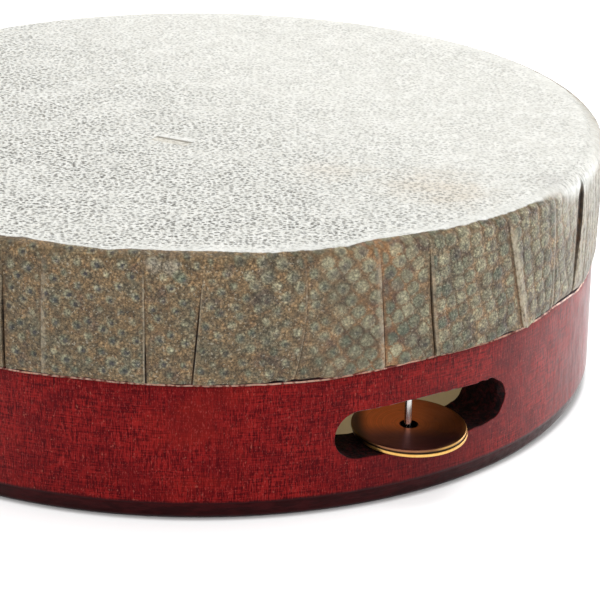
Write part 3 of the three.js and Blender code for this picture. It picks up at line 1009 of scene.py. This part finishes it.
# Rings of the face that the drum stands on, with the window for the pin's head
GROUND_RADII = (91.6, 90.0, 88.5, 87.0, 85.8)
SEAT_LEFT = SHELL_COLUMNS // 2 - 4
SEAT_RIGHT = SHELL_COLUMNS // 2 + 3
# How far the slot's mouth is cut past its plain outline, at shares of the way round from its top's middle
MOUTH_LINE = [
    (0.0, 0.3), (0.15, -0.2), (0.19, -0.3), (0.25, 0.5), (0.32, -0.3), (0.4, 0.0),
    (0.72, 0.0), (0.78, -0.35), (0.86, 0.0),
]
SLOT_DEPTHS = (0.0, 0.04, 0.1, 0.2, 0.32, 0.44, 0.56, 0.68, 0.8, 0.9, 0.96, 1.0)
# The slot's walls start this far inside the shell's own
SLOT_INSET = 0.18
# So near to the pin the slot's chips don't stand in, which keeps the discs clear, and past the second
# distance they may
CHIPS_FROM = 14
CHIPS_AT = 17


def wall_point(radius, along, height):
    """A point on an upright wall, along from the slot's middle."""
    return at(radius, SLOT_AZIMUTH + np.degrees(np.arcsin(along / radius)), height)


def window_path(left, right, bottom):
    """Rows and columns round a window, clockwise from its upper left corner."""
    path = [(0, c) for c in range(left, right)] + [(r, right) for r in range(bottom)]
    return path + [(bottom, c) for c in range(right, left, -1)] + [(r, left) for r in range(bottom, 0, -1)]


def strip_beside(shell, rows, left, right):
    """Faces between rows all round, but for a window from one column to another."""
    beside = [*range(right, SHELL_COLUMNS), *range(left + 1)]
    for over, under in zip(rows[:-1], rows[1:]):
        shell.strip(over[beside], under[beside], closed=False)


def slot_outline(count):
    """Even steps round the slot's outline, clockwise from the window's upper left corner.

    Returns each point's place on the slot's middle line, its turn from straight up, and its share of the
    way round from the middle of the top."""
    straight, arc = SLOT_LENGTH - SLOT_HEIGHT, math.pi * SLOT_END
    share = ((np.arange(count) - PATCH_HALF) / count) % 1
    run = share * 2 * (straight + arc) - straight / 2
    first = np.clip(run / SLOT_END, 0, math.pi)
    second = np.clip((run - arc - straight) / SLOT_END, 0, math.pi)
    back, forth = np.clip(run - arc, 0, straight), np.clip(run - 2 * arc - straight, 0, straight / 2)
    core = np.minimum(run, 0) + straight / 2 - back + forth
    return core, first + second, share


def slot_point(core, turn, out):
    return core + out * np.sin(turn), SLOT_MIDDLE + out * np.cos(turn)


def slot_mouth(core, turn, share):
    """How far the hand-cut mouth stands out of the slot's plain outline."""
    along, height = core + SLOT_END * np.sin(turn), SLOT_END * np.cos(turn)
    rough = (0.2 + 0.35 * smooth(8, 18, along)) * (noise(43, 1.7, along, height + 40) - 0.5)
    return rough + np.interp(share, *zip(*MOUTH_LINE), period=1)


def slot_patch(shell, ids, radius, azimuths, heights, outside):
    """Fills the gap left in a wall round the slot with rings, and returns the slot's own loop there."""
    path = window_path(PATCH_LEFT, PATCH_RIGHT, len(heights) - 1)
    loop = np.array([ids[r, c] for r, c in path])
    along = radius * np.sin(np.radians(np.array([azimuths[c] for _, c in path]) - SLOT_AZIMUTH))
    height = np.array([heights[r] for r, _ in path])
    core, turn, around = slot_outline(len(path))
    out = SLOT_END + SLOT_EASE + slot_mouth(core, turn, around)
    to_along, to_height = slot_point(core, turn, out)
    for share in PATCH_RINGS:
        ring_along = along + (to_along - along) * share
        ring_height = height + (to_height - height) * share
        placed = shell.add(wall_point(radius, ring_along, ring_height), inside=0.0 if outside else 1.0)
        if outside:
            shell.strip(placed, loop)
        else:
            shell.strip(loop, placed)
        loop = placed
    return loop


def slot_walls(shell, loop, inner_loop):
    """The slot's rough, scorched walls, from its mouth to the bore."""
    core, turn, around = slot_outline(len(loop))
    mouth = slot_mouth(core, turn, around)
    plain_along, plain_height = slot_point(core, turn, SLOT_END)
    lip = SLOT_DEPTHS[1]
    for depth in SLOT_DEPTHS:
        near = plateau(0.0, 0.1, 0.9, 1.0, depth)
        deep = 0 * plain_along + depth
        chip = 0.9 * (noise(41, 1.6, plain_along, plain_height, 13 * deep) - 0.5)
        chip = chip + 0.8 * (noise(42, 4.5, plain_along, plain_height, 9 * deep) - 0.5)
        chip = np.maximum(chip, -0.02 - smooth(CHIPS_FROM, CHIPS_AT, np.abs(plain_along - PIN_OFFSET)))
        ease = 0.25 * SLOT_EASE * (max(0.0, 1 - depth / lip) + max(0.0, 1 - (1 - depth) / lip))
        along, height = slot_point(core, turn, SLOT_END + chip * near + ease + mouth * (1 - near))
        along = along - 1.6 * depth * smooth(8, 20, along)
        height = height + 0.4 * depth * smooth(-10, -18, along) * smooth(0, -4, height - SLOT_MIDDLE)
        outer_reach = np.sqrt(SHELL_RADIUS**2 - along**2) - SLOT_INSET
        inner_reach = np.sqrt(BORE_RADIUS**2 - along**2) + SLOT_INSET
        reach = outer_reach + (inner_reach - outer_reach) * depth
        radius, sideways = np.hypot(along, reach), np.degrees(np.arctan2(along, reach))
        char = 0.85 if depth in (0.0, 1.0) else 1.0
        placed = shell.add(at(radius, SLOT_AZIMUTH + sideways, height), char=char)
        shell.strip(placed, loop)
        shell.wear(1)
        loop = placed
    shell.wear(0)
    shell.strip(inner_loop, loop)


def pin_seat(shell, ground, azimuths):
    """The face that the drum stands on, with the sunk seat of the pin's head."""
    shell.strip(ground[0], ground[1])
    strip_beside(shell, ground[1:-1], SEAT_LEFT, SEAT_RIGHT)
    shell.strip(ground[-2], ground[-1])
    path = window_path(SEAT_LEFT, SEAT_RIGHT, len(GROUND_RADII) - 1)
    loop = np.array([ground[1 + r][c] for r, c in path])
    corner = at(np.array([GROUND_RADII[r] for r, _ in path]), np.array([azimuths[c] for _, c in path]), 0.0)
    pin = pin_place(0.0)
    spoke = corner - pin
    spoke = spoke / np.linalg.norm(spoke, axis=1)[:, None]
    profile = [
        (PIN_SEAT_RADIUS + 0.2, 0.0),
        (PIN_SEAT_RADIUS, 0.15),
        (PIN_SEAT_RADIUS, PIN_SEAT_ROOF),
        (PIN_RADIUS, PIN_SEAT_ROOF),
    ]
    for reach, rise in profile:
        ring = pin + spoke * reach
        ring[:, 2] = rise
        placed = shell.add(ring, char=0.6 if rise else 0.0)
        shell.strip(placed, loop)
        loop = placed
    shell.fan(shell.add(pin_place(PIN_SEAT_ROOF)), loop)


def make_shell(wood, char_and_shadow, foot_stain):
    shell = Surface(["char", "scored", "shadow", "inside"])
    azimuths = SLOT_AZIMUTH + 360 * (np.arange(SHELL_COLUMNS) - SHELL_COLUMNS / 2) / SHELL_COLUMNS
    line = knife_height(azimuths)

    def outline(radius, height, **paint):
        return shell.add(at(radius, azimuths, height), **paint)

    # Down the outside: bearing edge, wall under the skin, knife line under the skin's edge with its painted
    # shadow, bare wall, foot
    rows = []
    for degrees in (90, 60, 30, 0):
        turn = math.radians(degrees)
        reach = SHELL_RADIUS - RIM_ROUND * (1 - math.cos(turn))
        rows.append(outline(reach, SHELL_HEIGHT - RIM_ROUND * (1 - math.sin(turn))))
    rows.append(outline(SHELL_RADIUS, HIDDEN_RING))
    rows.append(outline(SHELL_RADIUS, line + 1.6))
    cut = 0.29 + 0.3 * ring_noise(14, 5, azimuths)
    wide = 0.35 * plateau(*WIDE_CUT, azimuths)
    cut_row = len(rows) + KNIFE_CUT
    for drop, depth, bare, shadow in KNIFE_LINE:
        height = line - drop - (wide if drop > 0 else 0)
        rows.append(outline(SHELL_RADIUS - cut * depth, height, scored=bare, shadow=shadow))
    heights = np.linspace(PATCH_HIGH, PATCH_LOW, PATCH_ROWS + 1)
    outer = [outline(SHELL_RADIUS, h) for h in heights]
    foot = [outline(SHELL_RADIUS - inset, height) for inset, height in FOOT_LINE]

    # Across the ground, up the bore and over the bearing edge
    ground = [foot[-1]] + [outline(r, 0.0) for r in (*GROUND_RADII, BORE_RADIUS + FOOT_INNER_ROUND)]
    inner = [ground[-1]]
    for degrees in (30, 60, 90):
        turn = math.radians(degrees)
        reach = BORE_RADIUS + FOOT_INNER_ROUND * (1 - math.sin(turn))
        inner.append(outline(reach, FOOT_INNER_ROUND * (1 - math.cos(turn)), inside=degrees / 90))
    bore = [outline(BORE_RADIUS, h, inside=1.0) for h in heights[::-1]]
    upper = [bore[-1], outline(BORE_RADIUS, SHELL_HEIGHT - BEARING_SLOPE_DEPTH, inside=1.0)]
    upper.append(outline(SHELL_RADIUS - BEARING_WIDTH - 0.4, SHELL_HEIGHT - 0.4, inside=1.0))
    upper.append(outline(SHELL_RADIUS - BEARING_WIDTH + 0.4, SHELL_HEIGHT, inside=1.0))
    upper.append(rows[0])

    shell.rows(rows[: cut_row + 1])
    # The strip of painted shadow under the skin's edge wears the dark char and shadow material
    shell.wear(1)
    shell.rows(rows[cut_row : cut_row + 2])
    shell.wear(0)
    shell.rows(rows[cut_row + 1 :] + [outer[0]])
    shell.rows([outer[-1]] + foot[:2])
    shell.wear(2)
    shell.rows(foot[1:])
    shell.wear(0)
    shell.rows([inner[-1], bore[0]])
    shell.rows(inner)
    shell.rows(upper)

    # Both walls keep a window for the rings round the slot
    for wall in (outer, bore):
        strip_beside(shell, wall, PATCH_LEFT, PATCH_RIGHT)
    loop = slot_patch(shell, np.array(outer), SHELL_RADIUS, azimuths, heights, True)
    inner_loop = slot_patch(shell, np.array(bore)[::-1], BORE_RADIUS, azimuths, heights, False)
    slot_walls(shell, loop, inner_loop)
    pin_seat(shell, ground, azimuths)
    return shell.build("stained_shell", [wood, char_and_shadow, foot_stain], sharp=35)


def pin_place(height):
    along = math.radians(SLOT_AZIMUTH)
    x = PIN_OFFSET * math.cos(along) + PIN_RING * math.sin(along)
    y = PIN_OFFSET * math.sin(along) - PIN_RING * math.cos(along)
    return np.array([x, y, height])


def turned_piece(name, profile, segments, material, place, **paints):
    """A closed profile of (radius, height) points turned about Z, running down its outside."""
    piece = Surface(list(paints))
    azimuths = 360 * np.arange(segments) / segments
    rings = []
    for k, (radius, height) in enumerate(profile):
        paint = {value: levels[k] for value, levels in paints.items()}
        if radius == 0:
            rings.append(piece.add([0, 0, height], **paint))
        else:
            rings.append(piece.add(at(radius, azimuths, height), **paint))
    for upper, lower in zip(rings, rings[1:] + [rings[0]]):
        if upper.ndim == 0 and lower.ndim:
            piece.fan(upper, lower)
        elif lower.ndim == 0 and upper.ndim:
            piece.fan(lower, upper, below=True)
        elif upper.ndim:
            piece.strip(upper, lower)
    return piece.build(name, [material], place)


JINGLE_SEGMENTS = 144
JINGLE_EDGE = 0.2
JINGLE_HOLE_EDGE = 0.12
JINGLE_FLAT = (4.5, 7.0, 9.5, 11.6)
JINGLE_BELOW = (11.6, 9.0, 6.0)


def make_jingle(name, material, upper):
    """A disc on the pin: bright where its edge is rubbed, and painted brighter towards its lit side as a
    painted highlight; painted shade round the hole and, on the upper disc, underneath.
    """
    lean = math.radians(JINGLE_LEAN)
    rise = SLOT_FLOOR + JINGLE_GAP + WALL / 2 * math.tan(lean)
    if upper:
        rise += (JINGLE_THICKNESS + JINGLE_GAP) / math.cos(lean)
    shift = PIN_OFFSET + JINGLE_SHIFT * (1 if upper else 2)
    place = Matrix.Rotation(math.radians(SLOT_AZIMUTH), 4, "Z")
    place = place @ Matrix.Translation(Vector((shift, -PIN_RING, rise)) * MM)
    place = place @ Matrix.Rotation(lean, 4, "X")

    top, hole = JINGLE_THICKNESS, JINGLE_HOLE_RADIUS
    flat = (hole + JINGLE_HOLE_EDGE, hole + 0.3, hole + 1.0, *JINGLE_FLAT)
    profile = [(hole, top - JINGLE_HOLE_EDGE)] + [(out, top) for out in flat]
    worn = [0.0] * len(profile)
    for degrees, high in [(d, True) for d in (0, 30, 60, 90)] + [(d, False) for d in (90, 60, 30, 0)]:
        turn = math.radians(degrees)
        drop = JINGLE_EDGE * (1 - math.cos(turn))
        profile.append((JINGLE_RADIUS - JINGLE_EDGE * (1 - math.sin(turn)), top - drop if high else drop))
        worn.append(0.15 + 0.85 * degrees / 90)
    under = [(out, 0.0) for out in (*JINGLE_BELOW, hole + JINGLE_HOLE_EDGE)] + [(hole, JINGLE_HOLE_EDGE)]
    profile += under
    worn += [0.0] * len(under)
    bearing = (360 * np.arange(JINGLE_SEGMENTS) / JINGLE_SEGMENTS + 180) % 360 - 180
    # The rubbed edge is painted brighter towards the disc's lit side, a painted highlight
    lit_side = 0.22 + 0.55 * smooth(-12, 5, bearing) if upper else smooth(-92, -66, bearing)
    worn = [level * lit_side for level in worn]
    # Painted shade round the hole and, on the upper disc, on its lower half, in the gap between the discs
    dark_to = hole + (0.2 if upper else 1.2)
    shaded_below = 0.5 * JINGLE_THICKNESS if upper else 0.0
    grime = [1.0 if radius < dark_to or height < shaded_below else 0.0 for radius, height in profile]
    return turned_piece(name, profile, JINGLE_SEGMENTS, material, place, worn=worn, grime=grime)


PIN_SEGMENTS = 40
PIN_EASE = 0.15


def make_pin(material):
    profile = [
        (0, PIN_TIP),
        (0.16, PIN_TIP - 0.3),
        (PIN_RADIUS - 0.05, PIN_TIP - PIN_POINT + 0.1),
        (PIN_RADIUS, PIN_TIP - PIN_POINT - 0.2),
        (PIN_RADIUS, 20.0),
        (PIN_RADIUS, 12.0),
        (PIN_RADIUS, PIN_HEAD_HIGH + 0.2),
        (PIN_RADIUS + 0.2, PIN_HEAD_HIGH),
        (PIN_HEAD_RADIUS - PIN_EASE, PIN_HEAD_HIGH),
        (PIN_HEAD_RADIUS, PIN_HEAD_HIGH - PIN_EASE),
        (PIN_HEAD_RADIUS, PIN_HEAD_LOW + PIN_EASE),
        (PIN_HEAD_RADIUS - PIN_EASE, PIN_HEAD_LOW),
        (0.9, PIN_HEAD_LOW + 0.04),
        (0, PIN_HEAD_LOW + 0.05),
    ]
    place = Matrix.Translation(Vector(pin_place(0.0)) * MM)
    return turned_piece("wire_nail", profile, PIN_SEGMENTS, material, place)


# The photograph's view, fitted to the drum's ellipses: angles in radians, and the focus in the
# photograph's pixels
VIEW_RISE = 0.39
VIEW_PAN = 0.0388
VIEW_TILT = 0.0195
VIEW_ROLL = 0.01534
VIEW_DISTANCE = 684.2
VIEW_FOCUS = 2765
PHOTO_WIDTH = 600
SENSOR = 36


def make_camera():
    data = bpy.data.cameras.new("view")
    data.sensor_width = SENSOR
    data.lens = SENSOR * VIEW_FOCUS / PHOTO_WIDTH
    data.clip_start = 0.01
    camera = placed_object("view", data)
    place = Vector((0, -math.cos(VIEW_RISE), math.sin(VIEW_RISE))) * VIEW_DISTANCE * MM
    pan = Matrix.Rotation(-VIEW_PAN, 4, "Z")
    pitch = Matrix.Rotation(math.pi / 2 + VIEW_TILT - VIEW_RISE, 4, "X")
    roll = Matrix.Rotation(VIEW_ROLL, 4, "Z")
    camera.matrix_world = Matrix.Translation(place) @ pan @ pitch @ roll
    bpy.context.scene.camera = camera


TABLE_HALF = 3.0


def make_floor():
    look = Look("white_table")
    matt = look.principled(base_color=(0.9, 0.9, 0.9, 1), roughness=0.9, specular_ior_level=0.0)
    # Outside the drum the table is white; inside it glows with a painted light that stands in for the light
    # that comes through the skin
    under_wall = look.ramp(look.away((0, 0, 0)), BORE_RADIUS - 2, SHELL_RADIUS + 2)
    tints = {0: under_wall, 6: (0.06, 0.046, 0.02, 1), 7: (0.46, 0.46, 0.46, 1)}
    glow = look.node("ShaderNodeMix", tints, 2, data_type="RGBA")
    # Close to the drum, ambient occlusion cuts the white glow back: a painted contact shadow
    close = look.node("ShaderNodeAmbientOcclusion", {"Distance": 2.2 * MM}, "AO")
    white = look.node("ShaderNodeEmission", {"Color": glow, "Strength": look.ramp(close, 0.42, 0.92)})
    both = look.node("ShaderNodeAddShader", {0: matt, 1: white})
    seen = look.node("ShaderNodeMixShader", {0: look.shown_rays(), 1: matt, 2: both})
    mesh = bpy.data.meshes.new("table")
    corners = [(TABLE_HALF * x, TABLE_HALF * y, 0) for x, y in ((-1, -1), (1, -1), (1, 1), (-1, 1))]
    mesh.from_pydata(corners, [], [(0, 1, 2, 3)])
    mesh.materials.append(look.done(seen))
    placed_object("table", mesh)


# Name, place and size in metres, watts and tint. The last is the daylight that the thin head lets
# through into the drum.
LAMPS = [
    ("overhead", (0.1, 0.2, 1.1), 0.9, 5.6, (1, 1, 1)),
    ("right_back", (0.8, 0.45, 0.2), 0.5, 3.5, (1, 1, 1)),
    ("through_skin", (0, 0, 0.058), 0.155, 0.009, (1, 0.84, 0.55)),
]
LAMP_TARGET = Vector((0, 0, 0.03))
SKY_LIGHT = 0.8


def make_light():
    world = bpy.data.worlds.new("studio")
    bpy.context.scene.world = world
    world.use_nodes = True
    sky = Nodes(world.node_tree)
    white = {"Color": (1, 1, 1, 1)}
    seen = sky.node("ShaderNodeBackground", white | {"Strength": 1.0})
    lit = sky.node("ShaderNodeBackground", white | {"Strength": SKY_LIGHT})
    sky.end("ShaderNodeOutputWorld", sky.node("ShaderNodeMixShader", {0: sky.shown_rays(), 1: lit, 2: seen}))
    for name, place, size, watts, tint in LAMPS:
        lamp = bpy.data.lights.new(name, "AREA")
        lamp.shape = "DISK"
        lamp.size = size
        lamp.energy = watts
        lamp.color = tint
        holder = placed_object(name, lamp)
        holder.location = place
        holder.rotation_euler = (LAMP_TARGET - Vector(place)).to_track_quat("-Z", "Y").to_euler()


make_camera()

shell_piece = make_shell(wood_look(), char_and_shadow_look(), foot_look())
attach(shell_piece, "drum")
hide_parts("shell")

skin_piece = make_skin(skin_look())
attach(skin_piece, "drum")
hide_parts("drumhead")

pin_piece = make_pin(steel_look())
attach(pin_piece, "drum")
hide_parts("jingle_pin")

brass = brass_look()
for node, body, upper in (("jingle_lower", "lower_disc", False), ("jingle_upper", "upper_disc", True)):
    disc = make_jingle(node.replace("jingle", "brass_disc"), brass, upper)
    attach(disc, body)
    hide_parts(node)

make_floor()
make_light()
bpy.context.scene.view_settings.view_transform = "Standard"
